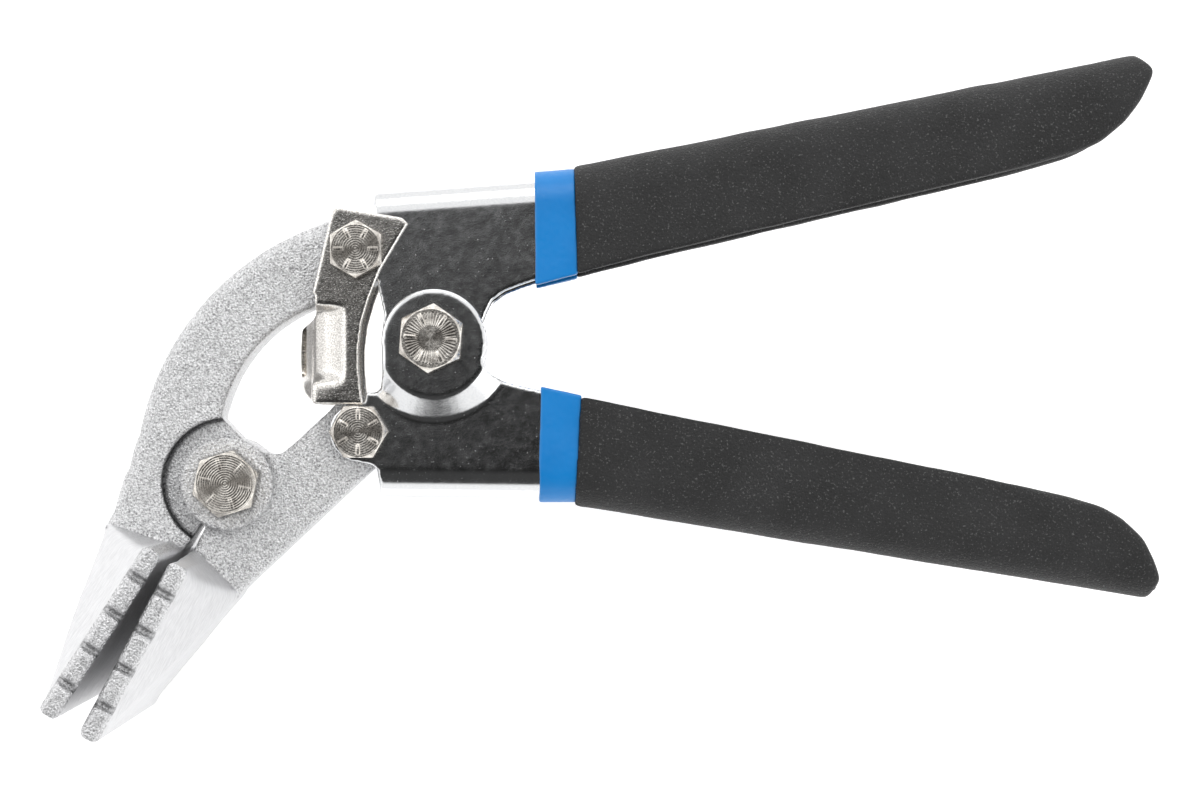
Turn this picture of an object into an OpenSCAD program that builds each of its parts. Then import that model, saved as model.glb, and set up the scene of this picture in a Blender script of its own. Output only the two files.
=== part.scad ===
// Offset hand seamer with compound-leverage handles.
// Millimetres. The tool lies in the XY plane, +X towards the handle ends,
// +Z along the pivot axes. The origin is the jaw pivot axis at mid thickness.
// The rest pose is the tool resting open, the latch standing on the lower link bolt.

/* [Jaws] */
// width of each jaw blade
jaw_width = 82.6; // [60:0.2:100]
// depth of each blade, from its root to the tip
blade_depth = 29.5; // [27:0.5:40]
// blade thickness at its side edges and tip
blade_thick = 3.2; // [2.4:0.1:4]
// angle between the gripping faces at rest
jaw_open = 5; // [3:0.5:6]
// gap left between the gripping faces when they are closed
jaw_gap = 0.24; // [0.1:0.02:0.6]
// depth marks cut in each side edge, one every quarter inch
mark_count = 4; // [2:1:4]

/* [Handles] */
// outside width of the pressed channel
channel_w = 18; // [16.5:0.5:19]
// sheet thickness of the handles
sheet = 2; // [1.6:0.1:2]
// outside radius of the channel bend
bend_r = 4.6; // [3:0.1:5]
// wall of the vinyl coating outside the steel
vinyl = 1; // [0.8:0.1:1.4]

/* [Fasteners] */
// shank diameter of the jaw pivot and handle pivot bolts
pivot_d = 6.4; // [5:0.1:6.4]
// shank diameter of the two link bolts
link_d = 5; // [4:0.1:5.2]

/* [Latch] */
// sheet thickness of the latch
latch_sheet = 1.6; // [1.2:0.1:1.8]

/* [Node] */
// which piece to draw

/* [Hidden] */
$fn = 48;

// axes, [x, y]
jaw_pivot = [0, 0];
upper_link = [20.53, 36.83];
lower_link = [20.85, 8.16];
handle_pivot = [32.30, 22.82];
ear_centre = [32.70, 22.40];   // of the lower handle's rounded ears

// half thicknesses and other distances from mid thickness
body_z = 6.8;                  // jaw bodies and arms
boss_z = 9;                    // over the jaw pivot bosses
tongue_z = 5;                  // upper jaw's tongue
socket_z = tongue_z + 0.05;    // lower jaw's socket for the tongue
channel_z = channel_w / 2;     // outside of the channel
inner_z = channel_z - sheet;   // inside of the channel
ear_z = channel_z + sheet;     // outside of the lower handle's ears
latch_in = channel_z + 0.05;
latch_out = latch_in + latch_sheet;
clip_z = 20;                   // clipping prisms, past every part

// radial clearances in bores
close_fit = 0.01;
free_fit = 0.05;
bush_r = 4;                    // outside radius of the link bushes

// colours
jaw_steel = [0.78, 0.78, 0.79];
handle_steel = [0.72, 0.73, 0.75];
bolt_steel = [0.70, 0.68, 0.65];
washer_steel = [0.72, 0.72, 0.72];
bush_steel = [0.60, 0.60, 0.60];
spring_steel = [0.45, 0.45, 0.46];
latch_steel = [0.66, 0.64, 0.61];
grip_black = [0.16, 0.16, 0.17];
band_blue = [0.14, 0.53, 0.84];

module plate(z0, z1) {
    translate([0, 0, z0]) linear_extrude(z1 - z0) children();
}
// the same plate on both sides of mid thickness
module both_plates(z0, z1) {
    plate(z0, z1) children();
    plate(-z1, -z0) children();
}
module both_sides() {
    for (flip = [0, 1]) mirror([0, 0, flip]) children();
}
module bore(point, radius) {
    translate(point) cylinder(r = radius, h = 60, center = true);
}

// ---------------------------------------------------------------- jaws
// Jaw coordinates: x along the jaw, y away from the other jaw.
lower_dir = 242.1;
upper_dir = lower_dir - jaw_open;
half_gap = jaw_gap / 2;
blade_root = 12.5;
blade_tip = blade_root + blade_depth;
edge_r = 1;                    // rounding of the blade's root and tip edges
skin = 0.05;                   // keeps the tapered back just inside its neighbours
side_inset = 0.6;              // tapered back to the blade's side edge
mark_pitch = 6.35;
mark_r = 0.75;
first_mark = 5.6;              // from the tip
body_start = 4;
boss_r = 7.36;
recess_r = 10.4;
// y of each body's back, and x where its flat side ends and the blade's back begins
upper_back = 12.1;
upper_crease = 12.6;
lower_back = 9.9;
lower_crease = 11.6;

module upper_frame() {
    rotate([0, 0, upper_dir]) mirror([0, 1, 0]) children();
}
module lower_frame() {
    rotate([0, 0, lower_dir]) children();
}

module blade_outline() {
    translate([blade_root + edge_r, half_gap]) square([blade_depth - 2 * edge_r, blade_thick]);
    translate([blade_root, half_gap + edge_r]) square([blade_depth, blade_thick - 2 * edge_r]);
    for (x = [blade_root + edge_r, blade_tip - edge_r])
        for (y = [half_gap + edge_r, half_gap + blade_thick - edge_r])
            translate([x, y]) circle(r = edge_r, $fn = 24);
}
// low tapering back between the body and the edges of the blade
module blade_back(back, crease) {
    hull() {
        linear_extrude(2 * body_z - 0.1, center = true) polygon([
            [crease, half_gap + skin], [crease + 0.7, half_gap + skin],
            [crease + 3.7, back - skin], [crease + 3, back - skin]
        ]);
        translate([blade_root + edge_r, half_gap + skin, -jaw_width / 2 + side_inset])
            cube([blade_depth - 2 * edge_r, blade_thick - 0.4, jaw_width - 2 * side_inset]);
    }
}
module blade(back, crease) {
    difference() {
        union() {
            linear_extrude(jaw_width, center = true) blade_outline();
            blade_back(back, crease);
        }
        // depth marks in both side edges
        for (i = [0 : mark_count - 1], side = [-1, 1])
            translate([blade_tip - first_mark - i * mark_pitch, -1, side * (jaw_width / 2 + 0.2)])
                rotate([-90, 0, 0]) cylinder(r = mark_r, h = 6, $fn = 24);
    }
}
// shoulder = y of the body's back near the pivot
module body_outline(shoulder, back, crease) {
    polygon([
        [body_start, half_gap], [crease + 0.3, half_gap], [crease + 3.3, back],
        [blade_root + 1, back], [8.1, shoulder], [body_start, shoulder]
    ]);
}
// everything across the gripping plane, beyond the boss
module face_cut() {
    translate([7.5, half_gap - 20, -50]) cube([50, 20, 100]);
}

arm_foot_y = -0.26;
// curved arm between the jaw pivot and the upper link
module arm_outline() {
    difference() {
        intersection() {
            translate([28.8, arm_foot_y]) circle(r = 43.75, $fn = 96);
            polygon([[-20, arm_foot_y], [upper_link.x, arm_foot_y], [upper_link.x, 50], [-20, 50]]);
        }
        translate([22.63, 5.6]) circle(r = 24.2, $fn = 96);
        polygon([[-0.76, 10.08], [2.18, 7.07], [0, -5], [60, -5], [60, 28], [10, 20]]);
    }
}
module upper_jaw_outline() {
    arm_outline();
    translate(upper_link) circle(r = 5.6);
    circle(r = boss_r);
    // joins the arm's foot to the boss
    polygon([
        [-14.95, arm_foot_y], [-7, -4], [0, 0], [2.18, 7.07], [-0.76, 10.08], [-5, 12], [-13, 5]
    ]);
    upper_frame() body_outline(13.45, upper_back, upper_crease);
}
module upper_jaw() {
    color(jaw_steel) difference() {
        union() {
            plate(-body_z, body_z) upper_jaw_outline();
            upper_frame() blade(upper_back, upper_crease);
        }
        // the lower jaw's cheeks turn in these two recesses
        both_plates(tongue_z, 12) circle(r = recess_r);
        bore(jaw_pivot, pivot_d / 2 + free_fit);
        bore(upper_link, bush_r + 0.05);
        upper_frame() face_cut();
    }
}

module lower_jaw_outline() {
    polygon([
        [0, 0], [4.3, 5.4], [5.9, 4.85], [7.2, 4.6], [8.6, 4.8], [10.2, 6.1],
        [16.75, 12.15], [24.7, 4.1], [1.74, -17.44], [-5.5, -11.0]
    ]);
    lower_frame() body_outline(9.0, lower_back, lower_crease);
    translate(lower_link) circle(r = 5.8);
}
module lower_jaw() {
    color(jaw_steel) difference() {
        union() {
            plate(-body_z, body_z) lower_jaw_outline();
            both_plates(socket_z, boss_z) circle(r = boss_r);
            lower_frame() blade(lower_back, lower_crease);
        }
        // socket for the upper jaw's tongue
        plate(-socket_z, socket_z) circle(r = boss_r + 0.25);
        plate(-socket_z, socket_z) polygon([[0, 0], [-3, 14], [2.3, 7.25], [4.9, 5.9]]);
        bore(jaw_pivot, pivot_d / 2 + close_fit);
        bore(lower_link, bush_r + 0.15);
        lower_frame() face_cut();
    }
}

// ---------------------------------------------------------------- handles
// Each handle is a front channel at the pivots and a rear one towards its end.
upper_front_angle = 4.1;
upper_rear_angle = 11.3;
lower_front_angle = -0.7;
lower_rear_angle = -9.2;
upper_side = 1;                // webs face +Y
lower_side = -1;               // webs face -Y
band_wall = 0.5;
joggle_r = 8.8;                // small end of each joggle's cones

// Channel sections: [outer face of web, outside half width, outside bend radius,
//                    depth of the web's inner face, inside half width]
// the steel channel grown by a coating wall, four fifths of it on the inside
function coated(wall) = [
    wall, channel_z + wall, bend_r + wall, sheet + wall * 0.8, inner_z - wall * 0.8
];
front_section = coated(0);
rear_section = [-0.15, channel_z - 0.05, bend_r, sheet - 0.25, inner_z + 0.05];

// solid with a rounded web: x = away from the open side, y = z
module channel_fill(face, half_width, radius) {
    translate([-45, -half_width]) square([45 - radius + face, 2 * half_width]);
    translate([-45, -half_width + radius]) square([45 + face, 2 * half_width - 2 * radius]);
    for (side = [-1, 1])
        translate([face - radius, side * (half_width - radius)]) circle(r = radius);
}
// channel run from start along angle, clipped to the child outline in XY
module channel(start, angle, side, length, section) {
    intersection() {
        translate(start) rotate([0, 0, angle]) scale([1, side, 1]) rotate([90, 0, 90])
            linear_extrude(length) difference() {
                channel_fill(section[0], section[1], section[2]);
                translate([-section[3], 0]) channel_fill(0, section[4], bend_r - sheet);
            }
        plate(-clip_z, clip_z) children();
    }
}

module upper_front_outline() {
    translate(upper_link) circle(r = 5.4);
    translate(handle_pivot) circle(r = 7.9);
    polygon([
        [23.0, 52], [23.0, 46.8], [23.07, 42.4], [23.86, 31.04], [24.81, 26.78], [24.5, 23.5],
        [32.3, 17], [39.9, 24.5], [40.89, 26.94], [41.84, 28.99], [43.81, 30.41],
        [46.25, 31.35], [50.0, 32.6], [55.6, 33.9], [58.2, 34.2], [54.95, 50.5]
    ]);
}
module upper_rear_outline() {
    polygon([
        [54, 56], [54, 33.6], [55.4, 34.4], [124.8, 50.9], [134, 53.8], [137, 55.2], [140.5, 58],
        [142.6, 60.6], [144.2, 63.4], [143.9, 65.2], [142.5, 66.6], [140, 72]
    ]);
}
module upper_front() {
    channel([11, 46.25], upper_front_angle, upper_side, 50, front_section) upper_front_outline();
}
module upper_rear() {
    channel([54.9, 49.3], upper_rear_angle, upper_side, 110, rear_section) upper_rear_outline();
}
module upper_handle() {
    color(handle_steel) difference() {
        union() {
            upper_front();
            upper_rear();
        }
        bore(upper_link, link_d / 2 + close_fit);
        bore(handle_pivot, pivot_d / 2 + close_fit);
    }
}

module lower_front_outline() {
    translate(lower_link) circle(r = 4.7);
    translate(ear_centre) circle(r = 8.25);
    polygon([
        [24.5, 22.5], [24.6, 17.4], [24.3, 14.9], [23.5, 14.4], [21.9, 14.4], [21.5, 12.5],
        [20.6, 9], [20.85, 3.46], [22.9, 3.0], [23.66, 2.4], [24.1, -0.66], [24.1, -8],
        [54.6, -8], [57.83, 11.9], [56.0, 12.9], [50.0, 14.6], [46.25, 15.43], [43.81, 16.06],
        [41.6, 17.3], [40.6, 19.0], [40.4, 22.4]
    ]);
}
module lower_rear_outline() {
    polygon([
        [54, -10], [54, 13.0], [55.9, 12.3], [125.0, -1.6], [132.7, -3.4], [137.2, -4.8],
        [140.4, -6.7], [143.3, -9.4], [145.1, -12.8], [146.0, -14.9], [145.4, -15.9],
        [144, -16.1], [142, -24]
    ]);
}
module ear_cone(base_r, base_z, height) {
    translate([ear_centre.x, ear_centre.y, base_z])
        cylinder(r1 = base_r, r2 = joggle_r, h = height);
}
module lower_front() {
    difference() {
        union() {
            channel([10, -1.96], lower_front_angle, lower_side, 50, front_section)
                lower_front_outline();
            // ears, stepped outwards over the upper handle's ears
            both_sides() intersection() {
                ear_cone(13.3, channel_z - 0.5, sheet + 0.5);
                plate(channel_z - 0.5, ear_z) lower_front_outline();
            }
        }
        // hollow of each joggle, where the upper handle's ear turns
        both_sides() ear_cone(14.2, inner_z - 1, sheet + 1);
    }
}
module lower_rear() {
    channel([55.2, -2.45], lower_rear_angle, lower_side, 110, rear_section) lower_rear_outline();
}
module lower_handle() {
    color(handle_steel) difference() {
        union() {
            lower_front();
            lower_rear();
        }
        bore(lower_link, link_d / 2 + close_fit);
        bore(handle_pivot, pivot_d / 2 + free_fit);
    }
}

// ---------------------------------------------------------------- vinyl
module upper_grip() {
    color(grip_black) difference() {
        channel([52, 48.65], upper_rear_angle, upper_side, 110, coated(vinyl)) polygon([
            [54.45, 60], [55.39, 33.3], [66.7, 36.26], [125.0, 49.82], [134.5, 52.5],
            [137.8, 54.0], [141.6, 57.2], [144.2, 60.6], [145.7, 63.8], [146.4, 65.4],
            [144.6, 67.2], [142, 72]
        ]);
        upper_front();
        upper_rear();
    }
}
module upper_band() {
    color(band_blue) difference() {
        channel([45, 48.69], upper_front_angle, upper_side, 14, coated(band_wall))
            polygon([[48.5, 60], [48.7, 31.4], [55.38, 33.1], [54.45, 60]]);
        upper_front();
    }
}
module lower_grip() {
    color(grip_black) difference() {
        channel([52, -1.93], lower_rear_angle, lower_side, 110, coated(vinyl)) polygon([
            [54.6, -12], [55.95, 13.6], [125.2, -0.4], [133, -2.2], [137.8, -3.6],
            [141.3, -5.6], [144.5, -8.6], [146.4, -12.3], [147.4, -15.2], [146.4, -17.1],
            [143, -24]
        ]);
        lower_front();
        lower_rear();
    }
}
module lower_band() {
    color(band_blue) difference() {
        channel([44, -2.375], lower_front_angle, lower_side, 16, coated(band_wall))
            polygon([[49.1, -12], [49.5, 15.4], [55.94, 13.9], [54.58, -12]]);
        lower_front();
    }
}

// ---------------------------------------------------------------- fasteners
// Heads are on the +Z side and nuts on the -Z side.
pivot_head_h = 3.6;
link_head_h = 3.2;
pivot_nut_h = 5.2;
link_nut_h = 4.2;
jaw_washer_z = boss_z + 0.8;           // outer face of the jaw pivot washer
link_seat_z = latch_out + 0.05;        // under the upper link bolt's head
link_washer_z = link_seat_z + 0.6;     // outer face of the upper link washer
overlap = 0.01;                        // shank into head

// corner_r = radius over the hexagon's corners
module hex_head(corner_r, height, turn) {
    intersection() {
        rotate([0, 0, turn]) cylinder(r = corner_r, h = height, $fn = 6);
        cylinder(r1 = corner_r + 2.2, r2 = corner_r * 0.84, h = height);
    }
    // six raised radial bars on the top
    for (i = [0 : 5]) rotate([0, 0, turn + 30 + 60 * i])
        translate([corner_r * 0.42, -0.28, height - 0.1]) cube([corner_r * 0.34, 0.56, 0.32]);
}
module bolt(point, d, seat, end, corner_r, height, turn) {
    translate(point) {
        translate([0, 0, seat]) hex_head(corner_r, height, turn);
        translate([0, 0, end]) cylinder(d = d, h = seat - end + overlap);
    }
}
// hexagon with a round collar at its outer end
module lock_nut(point, d, seat, corner_r, height, turn) {
    hex_h = height * 0.78;
    translate(point) difference() {
        union() {
            translate([0, 0, seat - hex_h]) intersection() {
                rotate([0, 0, turn]) cylinder(r = corner_r, h = hex_h, $fn = 6);
                cylinder(r1 = corner_r * 0.88, r2 = corner_r + 1.4, h = hex_h);
            }
            translate([0, 0, seat - height]) cylinder(r = corner_r * 0.72, h = height * 0.4);
        }
        cylinder(d = d + 0.02, h = 80, center = true);
    }
}
module ring(point, d, outer_r, z0, z1) {
    plate(z0, z1) translate(point) difference() {
        circle(r = outer_r);
        circle(r = d / 2 + 0.02);
    }
}

module jaw_pivot_bolt() {
    color(bolt_steel) bolt(jaw_pivot, pivot_d, seat = boss_z, end = -15.6,
        corner_r = 5.45, height = pivot_head_h, turn = 17.6);
}
module jaw_pivot_washer() {
    color(washer_steel) ring(jaw_pivot, pivot_d, 6.3, -jaw_washer_z, -boss_z);
}
module jaw_pivot_nut() {
    color(bolt_steel) lock_nut(jaw_pivot, pivot_d, seat = -jaw_washer_z,
        corner_r = 5.5, height = pivot_nut_h, turn = 10);
}
module handle_pivot_bolt() {
    color(bolt_steel) bolt(handle_pivot, pivot_d, seat = ear_z, end = -17,
        corner_r = 5.5, height = pivot_head_h, turn = 25);
}
module handle_pivot_sleeve() {
    color(bush_steel) ring(handle_pivot, pivot_d, 3.9, -inner_z, inner_z);
}
module handle_pivot_nut() {
    color(bolt_steel) lock_nut(handle_pivot, pivot_d, seat = -ear_z,
        corner_r = 5.5, height = pivot_nut_h, turn = 40);
}
module upper_link_bolt() {
    color(bolt_steel) bolt(upper_link, link_d, seat = link_seat_z, end = -16.2,
        corner_r = 4.6, height = link_head_h, turn = 30);
}
module upper_link_bush() {
    color(bush_steel) ring(upper_link, link_d, bush_r, -inner_z, inner_z);
}
module upper_link_washer() {
    color(washer_steel) ring(upper_link, link_d, 4.6, -link_washer_z, -link_seat_z);
}
module upper_link_nut() {
    color(bolt_steel) lock_nut(upper_link, link_d, seat = -link_washer_z,
        corner_r = 4.6, height = link_nut_h, turn = 12);
}
module lower_link_bolt() {
    color(bolt_steel) bolt(lower_link, link_d, seat = channel_z, end = -13.8,
        corner_r = 4.65, height = link_head_h, turn = 0);
}
module lower_link_bush() {
    color(bush_steel) ring(lower_link, link_d, bush_r, -inner_z, inner_z);
}
module lower_link_nut() {
    color(bolt_steel) lock_nut(lower_link, link_d, seat = -channel_z,
        corner_r = 4.6, height = link_nut_h, turn = 0);
}

// ---------------------------------------------------------------- return spring
wire_r = 0.8;
coil_r = 5.2;
pitch = 2.0;
turns = 4;
leg_z = pitch * turns / 2 - 0.1;
// The coil is a twisted extrusion of the crescent that a level cut makes in the wire.
half_sweep = 360 * wire_r / pitch * 0.98;
half_steps = 5;
// side = 1 on the crescent's outer edge, -1 on its inner edge
function crescent_point(i, side) =
    let (
        angle = half_sweep * i / half_steps,
        reach = sqrt(max(0, wire_r * wire_r - pow(pitch * angle / 360, 2)))
    )
    [(coil_r + side * reach) * cos(angle), (coil_r + side * reach) * sin(angle)];
crescent = [
    for (i = [-half_steps : half_steps]) crescent_point(i, 1),
    for (i = [half_steps : -1 : -half_steps]) crescent_point(i, -1)
];

module spring_leg(z, angle, length) {
    translate([coil_r, 0, z]) rotate([0, 0, angle]) rotate([0, 90, 0])
        cylinder(r = wire_r, h = length, $fn = 24);
}
module return_spring() {
    color(spring_steel) translate(handle_pivot) rotate([0, 0, 350]) {
        translate([0, 0, -pitch * turns / 2])
            linear_extrude(pitch * turns, twist = -360 * turns, slices = turns * 10)
                polygon(crescent);
        // one leg to each handle, bearing on the inside of its web
        spring_leg(leg_z, 90, 23.8);
        spring_leg(-leg_z, -90, 21.3);
    }
}

// ---------------------------------------------------------------- latch
web_x = 11.8;                  // outer face of the web
web_bottom = 12.5;
web_top = 26.5;
web_r = 5;                     // outside radius of the web's bends

module cheek_outline() {
    polygon([
        [17.6, 43.6], [27.7, 41.9], [28.6, 41.0], [24.25, 33.68], [22.5, 29.2], [21.36, 25.33],
        [20.9, 21.5], [20.89, 18.5], [21.2, 15], [21.6, 12.5], [13.5, 12.5], [13.5, 26.4],
        [13.5, 29.6], [16.3, 41.5], [16.7, 42.9]
    ]);
}
// slab with its -x corners rounded: x = x, y = z
module web_fill(face, length, half_width, radius) {
    translate([face + radius, -half_width]) square([length - radius, 2 * half_width]);
    translate([face, -half_width + radius]) square([length, 2 * half_width - 2 * radius]);
    for (side = [-1, 1])
        translate([face + radius, side * (half_width - radius)]) circle(r = radius);
}
module latch_web() {
    translate([0, web_top, 0]) rotate([90, 0, 0]) linear_extrude(web_top - web_bottom)
        difference() {
            web_fill(web_x, 7, latch_out, web_r);
            web_fill(web_x + latch_sheet, 20, latch_in, web_r - latch_sheet);
        }
}
module latch() {
    color(latch_steel) difference() {
        union() {
            // cheeks, either side of the upper handle's nose
            both_plates(latch_in, latch_out) cheek_outline();
            latch_web();
        }
        // the cheeks stop short of the web's corner radius
        translate([9, web_top, -clip_z]) cube([4.6, 3.1, 2 * clip_z]);
        // corners of the web taken off
        plate(-clip_z, clip_z) polygon([[9, 30], [9, 24.4], [11.7, 24.4], [14, 26.6], [14, 30]]);
        plate(-clip_z, clip_z)
            polygon([[9, 10], [9, 14.6], [11.8, 14.6], [13.9, 12.4], [13.9, 10]]);
        bore(upper_link, link_d / 2 + 0.06);
    }
}

lower_jaw();
upper_jaw();
jaw_pivot_bolt();
jaw_pivot_washer();
jaw_pivot_nut();
upper_handle();
lower_handle();
handle_pivot_bolt();
handle_pivot_sleeve();
handle_pivot_nut();
return_spring();
upper_link_bolt();
upper_link_bush();
upper_link_washer();
upper_link_nut();
lower_link_bolt();
lower_link_bush();
lower_link_nut();
latch();
upper_band();
lower_band();
upper_grip();
lower_grip();
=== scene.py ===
"""Plier-like hand tool: two cast jaws with wide blades, sheet handles, a latch, a coiled return
spring and vinyl grips.

It lies in the XY plane with the jaw pivot at the origin. The jaws run towards -X and -Y, the
handles towards +X, and the blades are wide along Z. Shape sizes are in millimetres and are
turned into metres where they reach Blender.
"""
import math
from collections import namedtuple

import bpy
import bmesh
import numpy as np
from mathutils import Vector, Matrix, kdtree


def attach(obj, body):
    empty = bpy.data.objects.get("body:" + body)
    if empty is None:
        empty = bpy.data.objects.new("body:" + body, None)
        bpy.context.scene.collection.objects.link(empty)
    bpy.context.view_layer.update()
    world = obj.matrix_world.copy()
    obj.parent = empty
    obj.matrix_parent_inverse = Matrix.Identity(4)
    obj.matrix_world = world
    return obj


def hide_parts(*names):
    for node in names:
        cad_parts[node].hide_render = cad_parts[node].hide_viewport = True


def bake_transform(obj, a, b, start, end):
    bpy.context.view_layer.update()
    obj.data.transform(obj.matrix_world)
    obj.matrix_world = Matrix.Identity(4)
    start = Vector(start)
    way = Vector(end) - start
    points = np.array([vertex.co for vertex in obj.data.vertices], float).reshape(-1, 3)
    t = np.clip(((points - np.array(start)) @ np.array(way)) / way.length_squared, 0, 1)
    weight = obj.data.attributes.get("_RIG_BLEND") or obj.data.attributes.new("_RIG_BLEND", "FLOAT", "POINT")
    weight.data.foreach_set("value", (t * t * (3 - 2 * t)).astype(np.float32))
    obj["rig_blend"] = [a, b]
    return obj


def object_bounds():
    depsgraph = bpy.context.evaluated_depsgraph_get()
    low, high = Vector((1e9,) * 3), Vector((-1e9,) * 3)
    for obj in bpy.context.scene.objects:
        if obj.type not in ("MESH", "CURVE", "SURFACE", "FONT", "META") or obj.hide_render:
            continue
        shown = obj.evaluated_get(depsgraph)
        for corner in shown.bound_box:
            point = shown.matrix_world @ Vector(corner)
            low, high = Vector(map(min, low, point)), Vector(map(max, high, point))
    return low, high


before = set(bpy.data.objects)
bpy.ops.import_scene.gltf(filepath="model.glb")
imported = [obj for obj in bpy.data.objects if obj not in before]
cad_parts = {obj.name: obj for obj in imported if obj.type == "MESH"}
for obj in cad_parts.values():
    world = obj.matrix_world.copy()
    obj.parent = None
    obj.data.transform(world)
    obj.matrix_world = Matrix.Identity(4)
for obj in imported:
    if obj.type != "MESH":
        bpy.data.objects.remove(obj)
cad_lo, cad_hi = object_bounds()
MM = 0.001

# pivot centres
JAW_PIVOT = (0.0, 0.0)
UPPER_LINK = (20.53, 36.83)
LOWER_LINK = (20.85, 8.16)
HANDLE_PIVOT = (32.30, 22.82)


def by_quality(full):
    return full


# ------------------------------------------------------------------ node graphs
class Graph:
    """Short ways to add nodes to an emptied node tree."""

    def __init__(self, tree):
        self.tree = tree
        tree.nodes.clear()

    def node(self, kind, **settings):
        node = self.tree.nodes.new(kind)
        for key, value in settings.items():
            setattr(node, key, value)
        return node

    def put(self, socket, value):
        """Links a socket, or sets a plain value."""
        if isinstance(value, bpy.types.NodeSocket):
            self.tree.links.new(value, socket)
        else:
            socket.default_value = value

    def calc(self, operation, first, second=None, clamp=False):
        node = self.node("ShaderNodeMath", operation=operation, use_clamp=clamp)
        self.put(node.inputs[0], first)
        if second is not None:
            self.put(node.inputs[1], second)
        return node.outputs[0]

    def multiply(self, first, second, clamp=False):
        return self.calc("MULTIPLY", first, second, clamp)

    def invert(self, value):
        return self.calc("SUBTRACT", 1.0, value)

    def weighted(self, *terms):
        """Sum of (value, weight) products."""
        total = None
        for value, weight in terms:
            product = self.multiply(value, weight)
            total = product if total is None else self.calc("ADD", total, product)
        return total

    def remap(self, value, over=(0.3, 0.7), to=(0.0, 1.0), curve="LINEAR"):
        """Maps one range to another; the default range holds most of a noise's values."""
        node = self.node("ShaderNodeMapRange", interpolation_type=curve)
        for socket, item in zip(node.inputs, (value, *over, *to)):
            self.put(socket, item)
        return node.outputs[0]

    def split(self, vector):
        node = self.node("ShaderNodeSeparateXYZ")
        self.put(node.inputs[0], vector)
        return node.outputs


class Surface(Graph):
    """A principled material; its texture coordinates are in millimetres."""

    def __init__(self, name):
        self.material = bpy.data.materials.new(name)
        self.material.use_nodes = True
        super().__init__(self.material.node_tree)
        self.output = self.node("ShaderNodeOutputMaterial")
        self.shader = self.node("ShaderNodeBsdfPrincipled")
        self.put(self.output.inputs[0], self.shader.outputs[0])
        self.object_coords = self.node("ShaderNodeTexCoord").outputs["Object"]
        self.coords = self.stretched((1000, 1000, 1000))

    def vector_calc(self, operation, first, second, output=0):
        node = self.node("ShaderNodeVectorMath", operation=operation)
        self.put(node.inputs[0], first)
        self.put(node.inputs[1], second)
        return node.outputs[output]

    def stretched(self, scale):
        return self.vector_calc("MULTIPLY", self.object_coords, scale)

    def noise(self, scale, detail, rough, coords=None):
        node = self.node("ShaderNodeTexNoise")
        self.put(node.inputs["Vector"], coords or self.coords)
        self.put(node.inputs["Scale"], scale)
        self.put(node.inputs["Detail"], detail)
        self.put(node.inputs["Roughness"], rough)
        return node.outputs[0]

    def cells(self, scale):
        node = self.node("ShaderNodeTexVoronoi", feature="F1")
        self.put(node.inputs["Vector"], self.coords)
        self.put(node.inputs["Scale"], scale)
        return node.outputs["Distance"]

    def ramp(self, value, stops):
        """Grey ramp through (position, grey) stops."""
        node = self.node("ShaderNodeValToRGB")
        elements = node.color_ramp.elements
        while len(elements) < len(stops):
            elements.new(0.5)
        for element, (position, grey) in zip(elements, stops):
            element.position = position
            element.color = (grey, grey, grey, 1)
        self.put(node.inputs[0], value)
        return node.outputs[0]

    def mix(self, factor, low, high):
        """Colour that goes from low to high as the factor goes from 0 to 1."""
        node = self.node("ShaderNodeMix", data_type="RGBA")
        self.put(node.inputs[0], factor)
        for index, colour in ((6, low), (7, high)):
            is_socket = isinstance(colour, bpy.types.NodeSocket)
            self.put(node.inputs[index], colour if is_socket else (*colour, 1))
        return node.outputs[2]

    def attribute(self, name):
        return self.node("ShaderNodeAttribute", attribute_name=name).outputs["Fac"]

    def bump(self, height, strength, depth):
        node = self.node("ShaderNodeBump")
        self.put(node.inputs["Strength"], strength)
        self.put(node.inputs["Distance"], depth * MM)
        self.put(node.inputs["Height"], height)
        return node.outputs[0]

    def edge_wear(self, radius, over=(0.02, 0.3)):
        """0 on flats, 1 on edges: how far the bevelled normal leaves the true one."""
        bevel = self.node("ShaderNodeBevel", samples=4)
        self.put(bevel.inputs["Radius"], radius * MM)
        geometry = self.node("ShaderNodeNewGeometry")
        match = self.vector_calc("DOT_PRODUCT", bevel.outputs[0], geometry.outputs["Normal"],
                                 output="Value")
        return self.remap(self.invert(match), over=over)

    def finish(self, colour, rough, normal=None, metallic=0.0, specular=0.5):
        inputs = self.shader.inputs
        self.put(inputs["Base Color"], colour)
        self.put(inputs["Metallic"], metallic)
        self.put(inputs["Roughness"], rough)
        self.put(inputs["Specular IOR Level"], specular)
        if normal is not None:
            self.put(inputs["Normal"], normal)
        return self.material


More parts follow.
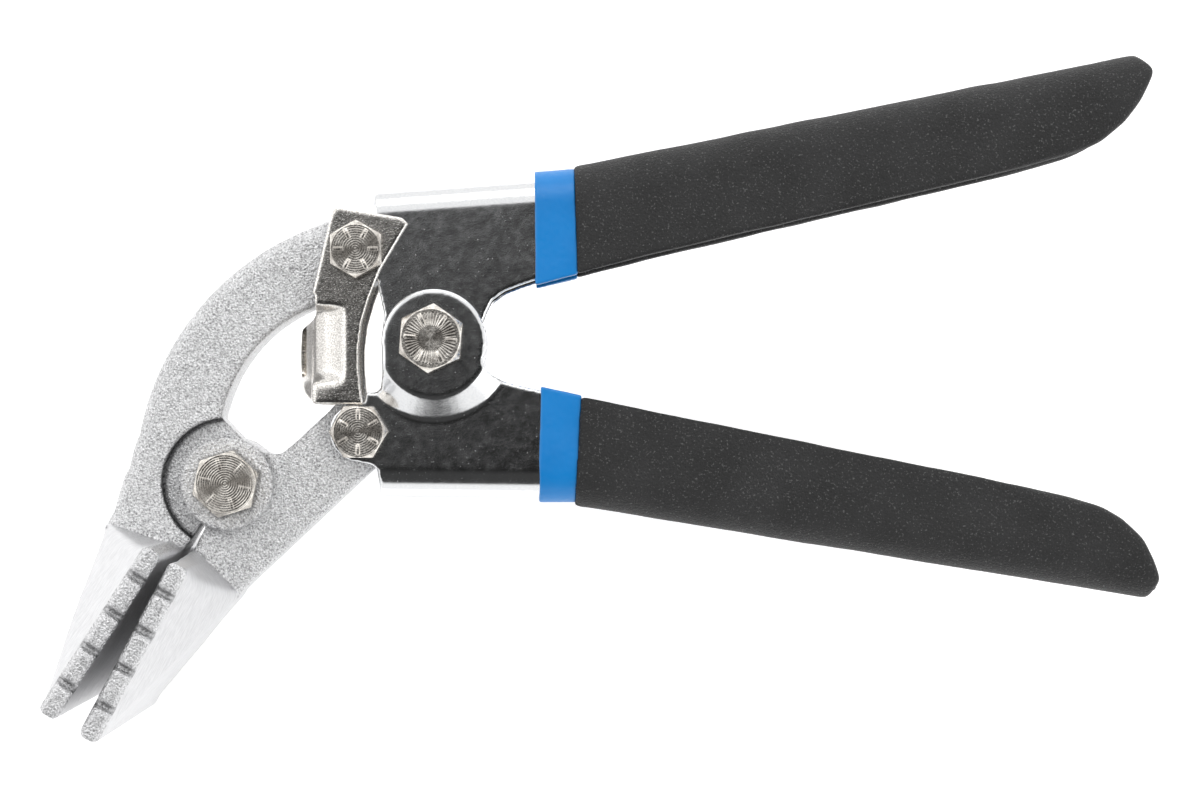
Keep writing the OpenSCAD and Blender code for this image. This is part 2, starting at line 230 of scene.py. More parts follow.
# ------------------------------------------------------------------ materials
def cast_zinc():
    """Grainy where the mesh attribute "cast" is 1, milled where it is 0."""
    m = Surface("cast_zinc")
    cast = m.attribute("cast")
    dark = m.attribute("dark")
    fine = m.noise(scale=3.3, detail=3, rough=0.6)
    broad = m.noise(scale=0.35, detail=2, rough=0.5)
    grain = m.weighted((fine, 0.75), (m.cells(scale=2.9), 0.55))
    # milled faces keep a faint grain and a few pits
    pits = m.ramp(m.noise(scale=1.4, detail=2, rough=0.5),
                  [(0.0, 1.0), (0.26, 1.0), (0.30, 0.0), (1.0, 0.0)])
    milled = m.weighted((m.noise(scale=0.8, detail=3, rough=0.6), 0.16), (pits, -0.25))
    height = m.weighted((grain, cast), (milled, m.invert(cast)))
    colour = m.mix(m.ramp(fine, [(0.34, 0.0), (0.62, 1.0)]),
                   low=(0.28, 0.28, 0.285), high=(0.88, 0.88, 0.89))
    colour = m.mix(m.remap(broad, to=(0.0, 0.25)), low=colour, high=(0.66, 0.66, 0.665))
    # milled faces also carry faint streaks, longest along Y
    streaks = m.noise(scale=1.0, detail=3, rough=0.6, coords=m.stretched((900, 420, 2400)))
    milled_colour = m.mix(m.remap(streaks, over=(0.35, 0.65)),
                          low=(0.63, 0.63, 0.64), high=(0.75, 0.75, 0.76))
    colour = m.mix(m.invert(cast), low=colour, high=milled_colour)
    # painted shade: the "dark" attribute darkens the depth marks and the contact lines around the jaw pivot
    # towards near black
    colour = m.mix(m.multiply(dark, 0.85, clamp=True), low=colour, high=(0.06, 0.06, 0.062))
    rough = m.weighted((m.remap(fine, to=(0.22, 0.42)), cast),
                       (m.remap(broad, to=(0.40, 0.50)), m.invert(cast)))
    return m.finish(colour, rough, m.bump(height, strength=1.0, depth=0.27), metallic=1.0)


def bright_plate():
    m = Surface("bright_plate")
    peel = m.noise(scale=0.55, detail=3, rough=0.6)
    fine = m.noise(scale=3.4, detail=3, rough=0.6)
    specks = m.ramp(m.noise(scale=3.0, detail=2, rough=0.6), [(0.0, 0.0), (0.68, 0.0), (0.76, 1.0)])
    # faint drawing lines along the handle
    lines = m.noise(scale=1.0, detail=2, rough=0.5, coords=m.stretched((300, 3600, 1500)))
    height = m.weighted((peel, 0.34), (fine, 0.15), (specks, -0.10), (lines, 0.035))
    colour = m.mix(m.remap(fine), low=(0.80, 0.81, 0.825), high=(0.88, 0.885, 0.89))
    rough = m.calc("ADD", m.remap(peel, to=(0.10, 0.17)), m.multiply(specks, 0.2))
    rough = m.calc("ADD", rough, m.multiply(m.edge_wear(radius=0.35), 0.08))
    return m.finish(colour, rough, m.bump(height, strength=0.36, depth=0.09), metallic=1.0)


def speckled_nickel():
    m = Surface("speckled_nickel")
    fine = m.noise(scale=4.2, detail=4, rough=0.65)
    medium = m.noise(scale=1.1, detail=3, rough=0.6)
    specks = m.ramp(m.cells(scale=3.4), [(0.0, 1.0), (0.22, 1.0), (0.36, 0.0)])
    height = m.weighted((fine, 0.6), (medium, 0.5), (specks, 0.25))
    colour = m.mix(m.remap(fine, over=(0.40, 0.60)),
                   low=(0.60, 0.575, 0.54), high=(0.99, 0.965, 0.93))
    rough = m.remap(medium, to=(0.13, 0.20))
    return m.finish(colour, rough, m.bump(height, strength=0.34, depth=0.06), metallic=1.0)


def nickel(name, centre, rings, rays=0.0, tone=(0.95, 0.91, 0.85)):
    """Nickel plate with turned rings and radial marks about a centre, of the given heights."""
    m = Surface(name)
    x, y = m.split(m.vector_calc("SUBTRACT", m.coords, (*centre, 0.0)))[:2]
    radius = m.calc("SQRT", m.weighted((x, x), (y, y)))
    angle = m.calc("ARCTAN2", y, x)
    fine = m.noise(scale=3.0, detail=4, rough=0.65)
    medium = m.noise(scale=1.3, detail=3, rough=0.6)
    turned = m.calc("SINE", m.multiply(radius, 17.0))
    relief = [(fine, 0.55), (medium, 0.35), (turned, rings)]
    if rays:
        # the rays fill a band between an inner and an outer radius
        band = m.multiply(m.remap(radius, over=(1.9, 2.2)),
                          m.remap(radius, over=(3.9, 4.1), to=(1.0, 0.0)))
        ray = m.calc("SINE", m.multiply(angle, 46.0))
        relief.append((m.multiply(ray, band), rays))
    normal = m.bump(m.weighted(*relief), strength=0.62, depth=0.07)
    dirt = m.ramp(m.noise(scale=0.9, detail=4, rough=0.65), [(0.38, 0.0), (0.70, 1.0)])
    colour = m.mix(m.multiply(dirt, 0.8), low=tone, high=(0.30, 0.27, 0.24))
    # painted reflection: the turned metal is painted lighter and darker in sectors, as its anisotropic
    # highlight falls, fading out towards the rim
    painted_sheen = m.calc("SINE", m.weighted((angle, 2.0), (medium, 2.2)))
    inner = m.remap(radius, over=(3.4, 4.6), to=(1.0, 0.0))
    colour = m.mix(m.multiply(m.remap(painted_sheen, over=(-0.1, 0.9), to=(0.0, 0.68)), inner),
                   low=colour, high=(0.17, 0.15, 0.13))
    wear = m.edge_wear(radius=0.3)
    colour = m.mix(m.multiply(wear, 0.7, clamp=True), low=colour, high=(0.93, 0.90, 0.86))
    return m.finish(colour, m.remap(fine, to=(0.16, 0.32)), normal, metallic=1.0)


def oiled_steel():
    m = Surface("oiled_steel")
    fine = m.noise(scale=3.0, detail=4, rough=0.6)
    stain = m.noise(scale=0.7, detail=3, rough=0.6)
    colour = m.mix(m.remap(stain), low=(0.40, 0.40, 0.41), high=(0.62, 0.62, 0.63))
    return m.finish(colour, m.remap(fine, to=(0.26, 0.42)),
                    m.bump(fine, strength=0.4, depth=0.06), metallic=1.0)


def blue_vinyl():
    m = Surface("blue_vinyl")
    fine = m.noise(scale=1.6, detail=3, rough=0.55)
    broad = m.noise(scale=0.12, detail=2, rough=0.5)
    height = m.calc("ADD", m.multiply(fine, 0.25), broad)
    colour = m.mix(m.remap(broad), low=(0.002, 0.205, 0.585), high=(0.003, 0.23, 0.64))
    wear = m.edge_wear(radius=0.5, over=(0.02, 0.4))
    colour = m.mix(m.multiply(wear, 0.35, clamp=True), low=colour, high=(0.15, 0.45, 0.85))
    return m.finish(colour, m.remap(fine, to=(0.34, 0.46)),
                    m.bump(height, strength=0.25, depth=0.10))


def black_vinyl():
    m = Surface("black_vinyl")
    fine = m.noise(scale=4.2, detail=4, rough=0.65)
    broad = m.noise(scale=0.10, detail=3, rough=0.5)
    height = m.weighted((m.cells(scale=2.6), 0.6), (fine, 0.6))
    specks = m.ramp(m.noise(scale=3.1, detail=2, rough=0.5), [(0.0, 0.0), (0.61, 0.0), (0.70, 1.0)])
    colour = m.mix(m.remap(broad, over=(0.35, 0.65)),
                   low=(0.013, 0.013, 0.0132), high=(0.021, 0.021, 0.0215))
    colour = m.mix(m.multiply(specks, 0.8), low=colour, high=(0.11, 0.11, 0.11))
    return m.finish(colour, m.remap(fine, to=(0.50, 0.68)),
                    m.bump(height, strength=1.0, depth=0.22), specular=0.42)


CAST = cast_zinc()
SHEET = bright_plate()
LATCH = speckled_nickel()
STEEL = oiled_steel()
BLUE = blue_vinyl()
BLACK = black_vinyl()
NICKEL_JAW = nickel("nickel_turned", JAW_PIVOT, rings=0.30, tone=(0.88, 0.84, 0.78))
NICKEL_HANDLE = nickel("nickel_radial", HANDLE_PIVOT, rings=0.0, rays=0.35,
                       tone=(0.97, 0.93, 0.87))
NICKEL_UPPER = nickel("nickel_a", UPPER_LINK, rings=0.12)
NICKEL_LOWER = nickel("nickel_b", LOWER_LINK, rings=0.12)


# ------------------------------------------------------------------ mesh helpers
def add_object(name, mesh):
    o = bpy.data.objects.new(name, mesh)
    bpy.context.scene.collection.objects.link(o)
    return o


def copy_of(node, name):
    """A new object with the node's mesh, welded and with its flats merged."""
    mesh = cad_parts[node].data.copy()
    mesh.name = node + "_form"
    o = add_object(name, mesh)
    bm = bmesh.new()
    bm.from_mesh(mesh)
    bmesh.ops.remove_doubles(bm, verts=bm.verts, dist=1e-6)
    bmesh.ops.dissolve_limit(bm, angle_limit=math.radians(0.4), verts=bm.verts, edges=bm.edges)
    bm.to_mesh(mesh)
    bm.free()
    for attribute in list(mesh.attributes):
        if attribute.name in ("sharp_edge", "sharp_face", "custom_normal"):
            mesh.attributes.remove(attribute)
    return o


def bake(o):
    """Applies every modifier to the mesh."""
    bpy.context.view_layer.update()
    evaluated = o.evaluated_get(bpy.context.evaluated_depsgraph_get())
    mesh = bpy.data.meshes.new_from_object(evaluated)
    o.modifiers.clear()
    old = o.data
    o.data = mesh
    bpy.data.meshes.remove(old)


def add_smooth(o, iterations, factor=0.5, group="", weights=()):
    """Adds a smooth modifier, limited to a new weighted vertex group if one is named."""
    modifier = o.modifiers.new("smooth", "SMOOTH")
    modifier.factor = factor
    modifier.iterations = iterations
    if group:
        vertex_group = o.vertex_groups.new(name=group)
        for index in np.nonzero(weights > 0.02)[0]:
            vertex_group.add([int(index)], float(weights[index]), "REPLACE")
        modifier.vertex_group = group


def remesh(o, voxel, smooth):
    modifier = o.modifiers.new("remesh", "REMESH")
    modifier.mode = "VOXEL"
    modifier.voxel_size = voxel * MM
    modifier.adaptivity = 0.0
    modifier.use_smooth_shade = True
    bake(o)
    add_smooth(o, smooth)
    bake(o)


def bevel(o, width):
    modifier = o.modifiers.new("bevel", "BEVEL")
    modifier.width = width * MM
    modifier.segments = 2
    modifier.limit_method = "ANGLE"
    modifier.angle_limit = math.radians(24)
    modifier.use_clamp_overlap = True
    modifier.harden_normals = False
    modifier.miter_outer = "MITER_ARC"
    weighted = o.modifiers.new("weighted_normal", "WEIGHTED_NORMAL")
    weighted.keep_sharp = False
    weighted.weight = 60
    bake(o)


def get_coords(o):
    co = np.empty(len(o.data.vertices) * 3)
    o.data.vertices.foreach_get("co", co)
    return co.reshape(-1, 3) / MM


def put_coords(o, co):
    o.data.vertices.foreach_set("co", (co * MM).ravel())
    o.data.update()


def get_normals(o):
    normals = np.empty(len(o.data.vertices) * 3, np.float32)
    o.data.vertex_normals.foreach_get("vector", normals)
    return normals.reshape(-1, 3)


def add_attribute(o, name, values):
    attribute = o.data.attributes.new(name, "FLOAT", "POINT")
    attribute.data.foreach_set("value", np.asarray(values, np.float32))


def value_noise(points, seed):
    """Smooth 3-D noise in 0..1, from a seeded lattice."""
    table = np.random.RandomState(seed).rand(4096)
    cell = np.floor(points).astype(np.int64)
    part = points - cell
    part = part * part * (3 - 2 * part)
    total = np.zeros(len(points))
    for corner in np.ndindex(2, 2, 2):
        x, y, z = (cell + corner).T
        key = (x * 73856093) ^ (y * 19349663) ^ (z * 83492791)
        share = np.where(corner, part, 1 - part)
        total += share[:, 0] * share[:, 1] * share[:, 2] * table[key & 4095]
    return total


def rise(value, start, end):
    """Smooth step from 0 at start to 1 at end."""
    t = np.clip((value - start) / (end - start), 0, 1)
    return t * t * (3 - 2 * t)


def fall(value, start, end):
    return 1 - rise(value, start, end)


def distance(xy, centre):
    return np.hypot(xy[:, 0] - centre[0], xy[:, 1] - centre[1])


def dress(o, material):
    """Smooth shading and a single material."""
    o.data.polygons.foreach_set("use_smooth", [True] * len(o.data.polygons))
    o.data.update()
    o.data.materials.clear()
    o.data.materials.append(material)


def deliver(o, node, material, body):
    dress(o, material)
    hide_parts(node)
    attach(o, body)


# ------------------------------------------------------------------ jaws
# Each jaw is measured by its distance along the blade from the jaw pivot, by its distance
# outwards from the closing plane, and by its height, the distance from the plane Z = 0.
UPPER_ANGLE = math.radians(237.1)
LOWER_ANGLE = math.radians(242.1)

BODY_HEIGHT = 6.8    # flat top of the cast body
BOSS_RISE = 1.7      # lower jaw's pivot boss above the body
CREASE_SLANT = 3.0   # the crease between body and blade back runs this far along the blade
MARK_FIRST, MARK_PITCH, MARK_COUNT = 36.4, 6.35, 4   # depth marks, counted from the tip
BOLT_TURN = 17.6     # degrees, turn of the hexagonal jaw bolt head

# upper jaw: (along, full outward width) and (along, outward growth)
UPPER_WIDTH = [(0, 15), (8, 13), (15.8, 12.1), (40.5, 3.0)]
UPPER_CROWN = [
    (1, 0), (3.1, 0.45), (5, 0.8), (6.95, 1.15), (8.9, 1.05), (10.9, 0.95),
    (12.8, 0.9), (14.7, 0.75), (17, 0.5), (30, 0.4), (39, 0),
]
# upper jaw: arc of the outer side, in XY
UPPER_ARC_CENTRE, UPPER_ARC_RADIUS = (28.8, -0.26), 43.75
# lower jaw: long outer edge, from the crease up to the link end, in XY
LOWER_EDGE_START, LOWER_EDGE_END = np.array((1.74, -17.44)), np.array((24.7, 4.1))

Jaw = namedtuple("Jaw", "side along outward crease back_width edges seed")


def direction(angle):
    return np.array((math.cos(angle), math.sin(angle)))


def left_of(angle):
    return np.array((-math.sin(angle), math.cos(angle)))


def upper_edges(xy):
    """Width and height of the edge rounding at points on the upper jaw's side wall."""
    along, out = xy @ UPPER_JAW.along, xy @ UPPER_JAW.outward
    outer = np.abs(distance(xy, UPPER_ARC_CENTRE) - UPPER_ARC_RADIUS) < 0.9
    # the same band carries on down the body's outer side
    outer |= (out > 11.0) & (along > 6.0) & (along < 16.0)
    tail = distance(xy, UPPER_LINK) < 7.0
    width = np.where(outer, 2.9, 0.8)
    height = np.where(outer, 2.3, 0.7)
    return np.where(tail, 1.0, width), np.where(tail, 0.8, height)


def lower_edges(xy):
    """Width and height of the edge rounding at points on the lower jaw's side wall."""
    line = LOWER_EDGE_END - LOWER_EDGE_START
    line = line / np.hypot(*line)
    offset = xy - LOWER_EDGE_START
    outer = np.abs(offset[:, 0] * line[1] - offset[:, 1] * line[0]) < 0.8
    return np.where(outer, 1.7, 0.8), np.where(outer, 1.3, 0.6)


UPPER_JAW = Jaw("upper", direction(UPPER_ANGLE), -left_of(UPPER_ANGLE), crease=12.6,
                back_width=12.1, edges=upper_edges, seed=11)
LOWER_JAW = Jaw("lower", direction(LOWER_ANGLE), left_of(LOWER_ANGLE), crease=11.6,
                back_width=9.9, edges=lower_edges, seed=23)


def jaw_frame(jaw, xy):
    return xy @ jaw.along, xy @ jaw.outward


def past_crease(jaw, along, out):
    return along - jaw.crease - CREASE_SLANT * np.clip(out / jaw.back_width, 0, 1)


def upper_growth(along, out):
    """Crowned outer side, which runs on straight from the arm to the blade back."""
    width = np.interp(along, *zip(*UPPER_WIDTH))
    return np.interp(along, *zip(*UPPER_CROWN)) * rise(out / width, 0.55, 0.95)


def round_body(xy, normals, height, beyond, edges):
    """Lowers the body's top near its side walls, in a quarter-ellipse rounding."""
    wall = (height < 4.2) & (np.abs(normals[:, 2]) < 0.25) & (beyond < 0.4)
    wall_xy = xy[wall]
    tree = kdtree.KDTree(len(wall_xy))
    for i, (x, y) in enumerate(wall_xy):
        tree.insert((x, y, 0), i)
    tree.balance()
    top = np.nonzero((height > 4.2) & (height < 7.4) & (beyond < 0.3))[0]
    gap = np.empty(len(top))
    nearest = np.empty((len(top), 2))
    for i, (x, y) in enumerate(xy[top]):
        point, _, gap[i] = tree.find((x, y, 0))
        nearest[i] = point[0], point[1]
    edge_width, edge_height = edges(nearest)
    t = np.clip(1 - gap / edge_width, 0, 1)
    limit = BODY_HEIGHT - edge_height * (1 - np.sqrt(1 - t * t))
    height[top] = np.minimum(height[top], limit)


def fill_boss_corner(xy, height):
    """Fillet between the lower jaw's pivot boss and its body."""
    radius = distance(xy, JAW_PIVOT)
    ring = (height > 6.2) & (height < 7.1) & (radius > 7.2) & (radius < 9.2)
    t = np.clip((radius[ring] - 7.3) / 1.8, 0, 1)
    fillet = BODY_HEIGHT + BOSS_RISE * (1 - np.sqrt(1 - (1 - t) ** 2))
    height[ring] = np.maximum(height[ring], fillet)


def contact_shadow(jaw, xy, height):
    """Darkness around the jaw pivot."""
    if jaw is UPPER_JAW:
        # shadowed foot of the recess that the cheek turns in
        foot = np.exp(-((distance(xy, JAW_PIVOT) - 10.15) / 0.42) ** 4)
        return foot * rise(height, 4.6, 4.9) * fall(height, 6.5, 6.9)
    # shadow line where the hexagonal bolt head sits on the boss
    turns = np.radians(BOLT_TURN + 30 + 60 * np.arange(6))
    hex_distance = (xy @ np.array([np.cos(turns), np.sin(turns)])).max(1)
    return 0.75 * fall(hex_distance, 4.75, 5.35) * rise(height, 8.4, 8.8)


def add_skin(o, jaw):
    """Sand-cast roughness, depth marks and the attributes the cast material reads."""
    flat = get_coords(o)
    xy, z = flat[:, :2], flat[:, 2]
    height, sign = np.abs(z), np.sign(z)
    along, out = jaw_frame(jaw, xy)
    # cast skin on the body and on the blocks at the marked side edges; smooth elsewhere
    cast = fall(past_crease(jaw, along, out), -0.3, 0.4)
    cast = np.maximum(cast, rise(height, 40.4, 41.0) * 0.75)
    grain = (value_noise(flat * 2.6, jaw.seed) - 0.5
             + 0.25 * (value_noise(flat * 1.2, jaw.seed + 1) - 0.5))
    waves = value_noise(flat * 0.35, jaw.seed + 2) - 0.5
    raised = height > 5.2
    # the rims of the bores stay smooth
    bore = np.min([distance(xy, c) for c in (JAW_PIVOT, UPPER_LINK, LOWER_LINK)], axis=0)
    grain_depth = cast * np.where(raised, 0.075, 0.05) * rise(bore, 4.3, 4.8)
    co = flat + get_normals(o) * (grain * grain_depth + waves * 0.05 * raised)[:, None]
    # the depth marks are cast deep and soft, and so are the ends of the edge blocks
    marks = sum(np.exp(-((along - (MARK_FIRST - MARK_PITCH * i)) / 0.62) ** 4)
                for i in range(MARK_COUNT))
    side = rise(height, 39.6, 40.9)
    rim = np.clip(fall(out, 0.1, 0.9) + rise(out, 2.4, 3.2), 0, 1)
    co[:, 2] -= sign * 0.45 * marks * side
    co[:, 2] -= sign * 0.42 * rim * side * rise(along, 12.0, 13.0)
    put_coords(o, co)
    # the "dark" attribute is painted shade: in the depth marks on the blade edges, and the contact shadows
    # around the jaw pivot
    add_attribute(o, "dark", np.maximum(0.42 * marks * side, contact_shadow(jaw, xy, height)))
    add_attribute(o, "cast", cast)


def build_jaw(jaw):
    node = jaw.side + "_jaw"
    o = copy_of(node, node + "_casting")
    remesh(o, voxel=by_quality(0.30), smooth=3)
    co = get_coords(o)
    xy, z = co[:, :2], co[:, 2]   # views, so they follow changes to co
    along, out = jaw_frame(jaw, xy)
    if jaw is UPPER_JAW:
        growth = upper_growth(along, out)
        xy += growth[:, None] * jaw.outward
        put_coords(o, co)
        out = out + growth
    beyond = past_crease(jaw, along, out)
    height, sign = np.abs(z), np.sign(z)
    round_body(xy, get_normals(o), height, beyond, jaw.edges)
    if jaw is LOWER_JAW:
        fill_boss_corner(xy, height)
    co[:, 2] = sign * height
    put_coords(o, co)
    # the flare where the body runs out into the wide blade
    flare = (rise(height, 6.5, 7.4) * fall(height, 33.0, 39.0) * rise(beyond, -0.5, 0.3)
             * fall(along, 19.0, 27.0) * rise(out, 2.6, 3.8))
    add_smooth(o, by_quality(180), factor=0.6, group="flare", weights=flare)
    bake(o)
    add_skin(o, jaw)
    deliver(o, node, CAST, "jaw_" + jaw.side)


build_jaw(UPPER_JAW)
build_jaw(LOWER_JAW)


# ------------------------------------------------------------------ sheet handles
def build_handle(side):
    node = side + "_handle"
    o = copy_of(node, node + "_sheet")
    remesh(o, voxel=by_quality(0.31), smooth=4)
    # under the vinyl the sheet keeps a hair away from it
    co = get_coords(o)
    co -= get_normals(o) * (0.14 * rise(co[:, 0], 51.0, 53.0))[:, None]
    put_coords(o, co)
    deliver(o, node, SHEET, "handle_" + side)


build_handle("upper")
build_handle("lower")


# ------------------------------------------------------------------ latch
TAB_EDGE = 18.9   # X where the thumb tab starts; it lies on the -X side


def build_latch():
    """Flat plates whose -X side is pressed inwards into a scooped thumb tab."""
    o = copy_of("latch", "latch_plate")
    remesh(o, voxel=by_quality(0.20), smooth=4)
    x, y, z = get_coords(o).T
    height, sign = np.abs(z), np.sign(z)
    plate = rise(height, 2.0, 7.5)
    scoop = rise(y, 15.6, 17.6) * fall(y, 27.0, 28.3)
    inset = np.clip(TAB_EDGE - x, 0, None)
    # the scoop deepens faster past 3.6 mm
    depth = 0.62 * np.minimum(inset, 3.6) + 0.75 * np.clip(inset - 3.6, 0, None)
    depth = depth * rise(inset, -0.1, 1.3)
    taper = 0.07 * np.clip(16.2 - x, 0, None)
    height = height - plate * (depth * scoop + taper * (1 - scoop) * fall(y, 26.8, 28.6))
    # bulge of the thumb web
    web = fall(x, 12.6, 15.0) * np.clip(1 - (z / 9.0) ** 2, 0, 1)
    x = x - 0.55 * web * np.clip(1 - ((y - 20.2) / 6.5) ** 2, 0, 1)
    # a shallow ridge down the tab, between it and the scoop
    ridge = np.exp(-((x - 15.2) / 0.45) ** 2) * scoop * rise(height, 4.0, 6.0)
    height = height + 0.28 * ridge
    put_coords(o, np.stack([x, y, sign * height], 1))
    # pressed metal turns softly in and out of the scoop
    press = (fall(x, 17.0, 19.4) * rise(y, 8.0, 9.6) * fall(y, 25.6, 27.2)
             * rise(height, 2.0, 5.0))
    add_smooth(o, by_quality(34), group="press", weights=press)
    add_smooth(o, 9)
    bake(o)
    deliver(o, "latch", LATCH, "latch_arm")


build_latch()

# ------------------------------------------------------------------ fasteners
# node, body it rides on, material, bevel width
FASTENERS = [
    ("jaw_pivot_bolt", "jaw_lower", NICKEL_JAW, 0.16),
    ("handle_pivot_bolt", "handle_upper", NICKEL_HANDLE, 0.16),
    ("upper_link_bolt", "handle_upper", NICKEL_UPPER, 0.14),
    ("lower_link_bolt", "handle_lower", NICKEL_LOWER, 0.14),
    ("jaw_pivot_nut", "jaw_lower", NICKEL_JAW, 0.14),
    ("handle_pivot_nut", "handle_upper", NICKEL_HANDLE, 0.14),
    ("upper_link_nut", "handle_upper", NICKEL_UPPER, 0.12),
    ("lower_link_nut", "handle_lower", NICKEL_LOWER, 0.12),
    ("jaw_pivot_washer", "jaw_lower", NICKEL_JAW, 0.10),
    ("upper_link_washer", "handle_upper", NICKEL_UPPER, 0.08),
    ("handle_pivot_sleeve", "handle_upper", STEEL, 0.10),
    ("upper_link_bush", "handle_upper", STEEL, 0.10),
    ("lower_link_bush", "handle_lower", STEEL, 0.10),
]
for node, body, material, bevel_width in FASTENERS:
    fastener = copy_of(node, node + "_plated")
    bevel(fastener, bevel_width)
    deliver(fastener, node, material, body)

# ------------------------------------------------------------------ return spring
COIL_RADIUS = 5.2
COIL_HALF = 3.9                   # the coil climbs from -COIL_HALF to +COIL_HALF
COIL_SWEEP = 2 * math.pi * 4      # four turns
COIL_START = math.radians(350)
LOWER_LEG, UPPER_LEG = 21.3, 23.8
LEG_GAP = 0.4                     # between a leg's last point and the coil's end
WIRE_RADIUS = 0.78
BLEND_HEIGHT = 3.6                # heights at which the spring follows one handle alone


def tube(name, path, radius, sides=14):
    path = np.array(path, float)
    tangents = np.gradient(path, axis=0)
    tangents /= np.linalg.norm(tangents, axis=1)[:, None]
    verts, faces = [], []
    for point, tangent in zip(path, tangents):
        across = np.cross(tangent, np.array([0, 0, 1.0]))
        across /= np.linalg.norm(across)
        upright = np.cross(tangent, across)
        for k in range(sides):
            turn = 2 * math.pi * k / sides
            offset = radius * (math.cos(turn) * across + math.sin(turn) * upright)
            verts.append(tuple((point + offset) * MM))
    last = (len(path) - 1) * sides
    for ring in range(0, last, sides):
        for k in range(sides):
            k2 = (k + 1) % sides
            faces.append((ring + k, ring + k2, ring + sides + k2, ring + sides + k))
    faces.append(tuple(range(sides))[::-1])
    faces.append(tuple(last + k for k in range(sides)))
    mesh = bpy.data.meshes.new(name)
    mesh.from_pydata(verts, [], faces)
    o = add_object(name, mesh)
    bm = bmesh.new()
    bm.from_mesh(mesh)
    bmesh.ops.recalc_face_normals(bm, faces=bm.faces)
    bm.to_mesh(mesh)
    bm.free()
    return o


def spring_path():
    """Lower leg, coil about the handle pivot, upper leg; both legs leave along one tangent."""
    centre = np.array(HANDLE_PIVOT)
    start = centre + COIL_RADIUS * direction(COIL_START)
    tangent = left_of(COIL_START)
    lower = [(*(start - tangent * d), -COIL_HALF) for d in np.linspace(LOWER_LEG, LEG_GAP, 40)]
    coil = [(*(centre + COIL_RADIUS * direction(COIL_START + a)),
             -COIL_HALF + 2 * COIL_HALF * a / COIL_SWEEP) for a in np.linspace(0, COIL_SWEEP, 260)]
    upper = [(*(start + tangent * d), COIL_HALF) for d in np.linspace(LEG_GAP, UPPER_LEG, 40)]
    return lower + coil + upper


spring = tube("return_spring_wire", spring_path(), WIRE_RADIUS)
dress(spring, STEEL)
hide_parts("return_spring")
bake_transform(spring, "handle_upper", "handle_lower",
         (HANDLE_PIVOT[0] * MM, HANDLE_PIVOT[1] * MM, BLEND_HEIGHT * MM),
         (HANDLE_PIVOT[0] * MM, HANDLE_PIVOT[1] * MM, -BLEND_HEIGHT * MM))


# ------------------------------------------------------------------ vinyl
def add_nub(o, centre, radii):
    """Adds an ellipsoid to the mesh, to be merged by the remesh."""
    bm = bmesh.new()
    bm.from_mesh(o.data)
    scale = Matrix.Diagonal((*(r * MM for r in radii), 1))
    bmesh.ops.create_icosphere(bm, subdivisions=3, radius=1.0,
                               matrix=Matrix.Translation(Vector(centre) * MM) @ scale)
    bm.to_mesh(o.data)
    bm.free()


def build_vinyl(side, part, material, voxel, smooth, swell, seed, nub=None):
    """A vinyl part; nub is the (centre, radii) of a drip at the handle's end."""
    node = f"{side}_{part}"
    o = copy_of(node, node + "_vinyl")
    if nub:
        add_nub(o, *nub)
    remesh(o, by_quality(voxel), smooth)
    if nub:
        # dipped vinyl rounds the ends off, except at the drip nub
        co = get_coords(o)
        nub_distance = np.linalg.norm(co - np.array(nub[0]), axis=1)
        end = rise(co[:, 0], 118.0, 132.0) * rise(nub_distance, 1.9, 3.4)
        add_smooth(o, by_quality(60), group="end", weights=end)
        bake(o)
    co = get_coords(o)
    waves = value_noise(co * 0.22, seed) - 0.5
    grain = value_noise(co * 1.6, seed + 5) - 0.5
    put_coords(o, co + get_normals(o) * (swell + 0.16 * waves + 0.035 * grain)[:, None])
    deliver(o, node, material, "handle_" + side)


# side, seed, (nub centre, nub radii)
GRIPS = [
    ("upper", 31, ((146.2, 65.9, 0.0), (1.1, 0.9, 2.2))),
    ("lower", 37, ((146.9, -16.3, 0.0), (1.0, 1.0, 2.2))),
]
for side, seed, nub in GRIPS:
    build_vinyl(side, "grip", BLACK, voxel=0.36, smooth=5, swell=0.10,
                seed=seed, nub=nub)
for side, seed in (("upper", 41), ("lower", 43)):
    build_vinyl(side, "band", BLUE, voxel=0.20, smooth=3, swell=0.0, seed=seed)


# ------------------------------------------------------------------ floor, light, camera (metres)
def build_floor(half=3.0, gap=0.0006):
    """A pale, slightly glowing floor just under the tool."""
    z = cad_lo[2] - gap
    mesh = bpy.data.meshes.new("floor")
    mesh.from_pydata([(-half, -half, z), (half, -half, z), (half, half, z), (-half, half, z)],
                     [], [(0, 1, 2, 3)])
    o = add_object("floor", mesh)
    m = Surface("pale_floor")
    tone = m.noise(scale=0.02, detail=2, rough=0.5)
    m.finish(m.mix(tone, low=(0.86, 0.86, 0.86), high=(0.90, 0.90, 0.90)), rough=0.75,
             specular=0.2)
    m.put(m.shader.inputs["Emission Color"], (1, 1, 1, 1))
    m.put(m.shader.inputs["Emission Strength"], 0.50)
    # from below the floor lets the view through
    geometry = m.node("ShaderNodeNewGeometry")
    clear = m.node("ShaderNodeBsdfTransparent")
    switch = m.node("ShaderNodeMixShader")
    m.put(switch.inputs[0], geometry.outputs["Backfacing"])
    m.put(switch.inputs[1], m.shader.outputs[0])
    m.put(switch.inputs[2], clear.outputs[0])
    m.put(m.output.inputs[0], switch.outputs[0])
    mesh.materials.append(m.material)


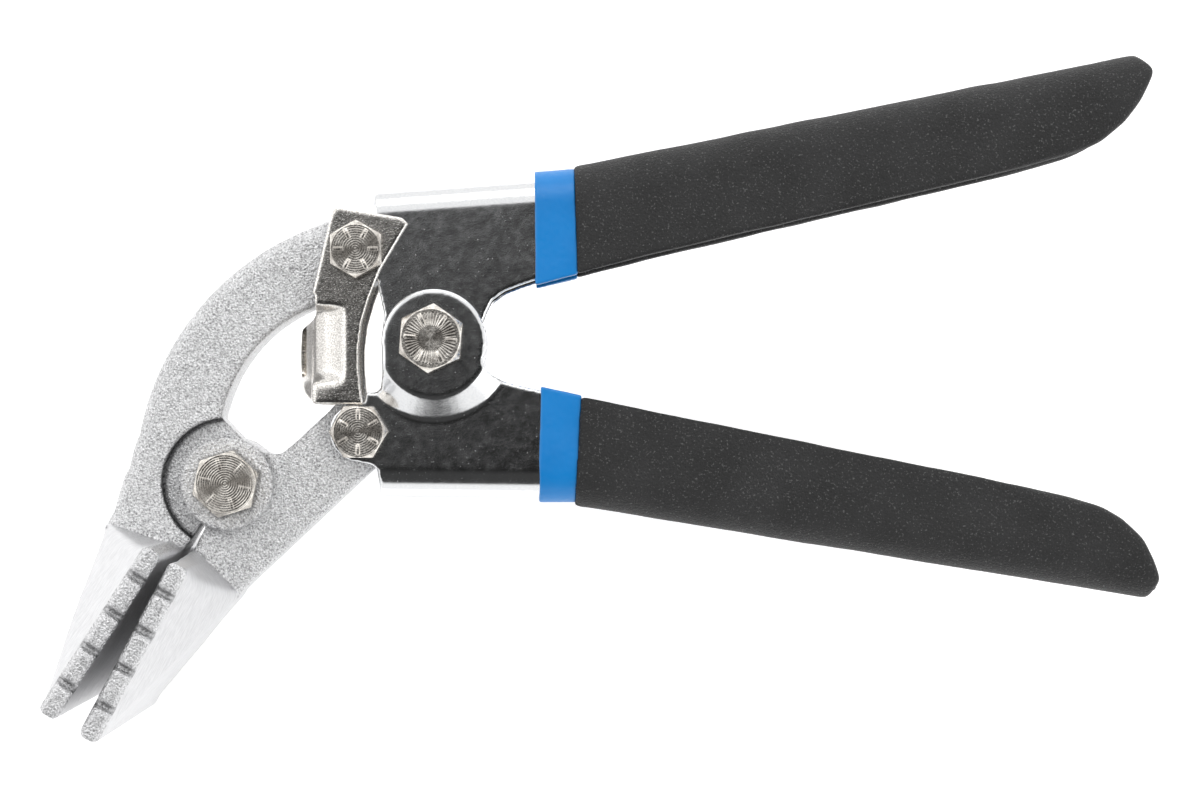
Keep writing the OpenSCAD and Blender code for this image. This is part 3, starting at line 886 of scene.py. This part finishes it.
def build_world():
    """A bright tent with one dark oval opening: overhead and down towards -Y."""
    world = bpy.data.worlds.new("studio")
    bpy.context.scene.world = world
    world.use_nodes = True
    g = Graph(world.node_tree)
    output = g.node("ShaderNodeOutputWorld")
    background = g.node("ShaderNodeBackground")
    x, y, z = g.split(g.node("ShaderNodeTexCoord").outputs["Generated"])

    def ease(value, over, to=(0.0, 1.0)):
        return g.remap(value, over, to, curve="SMOOTHSTEP")

    # the oval's half sizes are 0.43 and 0.50, and its centre is at Y = -0.36
    across = g.calc("DIVIDE", x, 0.43)
    down = g.calc("DIVIDE", g.calc("ADD", y, 0.36), 0.50)
    tent = ease(g.weighted((across, across), (down, down)), over=(0.86, 1.30))
    # bright all round near the horizon, and a little brighter low down
    tent = g.calc("MAXIMUM", tent, ease(z, over=(0.34, 0.16)))
    tent = g.multiply(tent, ease(z, over=(1.0, 0.2), to=(0.98, 1.06)))
    # the opening is a little lighter towards -X +Y, and at its -Y end
    corner = g.calc("MAXIMUM", g.weighted((x, -0.9), (y, 1.0)), 0.0)
    opening = g.calc("ADD", g.multiply(corner, 0.66),
                     ease(y, over=(-0.42, 0.02), to=(0.050, 0.009)))
    light = g.weighted((tent, 1.0), (opening, g.invert(tent)))
    g.put(background.inputs["Color"], light)
    g.put(background.inputs["Strength"], 1.0)
    g.put(output.inputs[0], background.outputs[0])


def add_softbox(name, location, size, size_y, watts, target=(0.05, 0.01, 0)):
    light = bpy.data.lights.new(name, "AREA")
    light.shape = "RECTANGLE"
    light.size = size
    light.size_y = size_y
    light.energy = watts
    o = add_object(name, light)
    o.location = location
    aim = Vector(target) - Vector(location)
    o.rotation_euler = aim.to_track_quat("-Z", "Y").to_euler()


def add_camera():
    """Looks straight down at the tool."""
    camera = bpy.data.cameras.new("camera")
    o = add_object("camera", camera)
    camera.lens = 116.25
    camera.sensor_width = 36.0
    camera.shift_x = 0.0333
    camera.shift_y = 0.0333
    camera.clip_start = 0.01
    o.location = (0.05256, 0.00691, 0.620)
    o.rotation_euler = (0, 0, 0)
    bpy.context.scene.camera = o


build_floor()
build_world()
add_softbox("softbox_left", (-0.55, 0.25, 0.55), size=0.5, size_y=0.7, watts=0.65)
add_softbox("softbox_top", (0.10, 0.70, 0.60), size=0.7, size_y=0.4, watts=1.6)
add_softbox("softbox_right", (0.75, -0.35, 0.60), size=0.5, size_y=0.6, watts=1.1)
add_camera()
bpy.context.scene.view_settings.view_transform = "Standard"
bpy.context.scene.view_settings.look = "None"
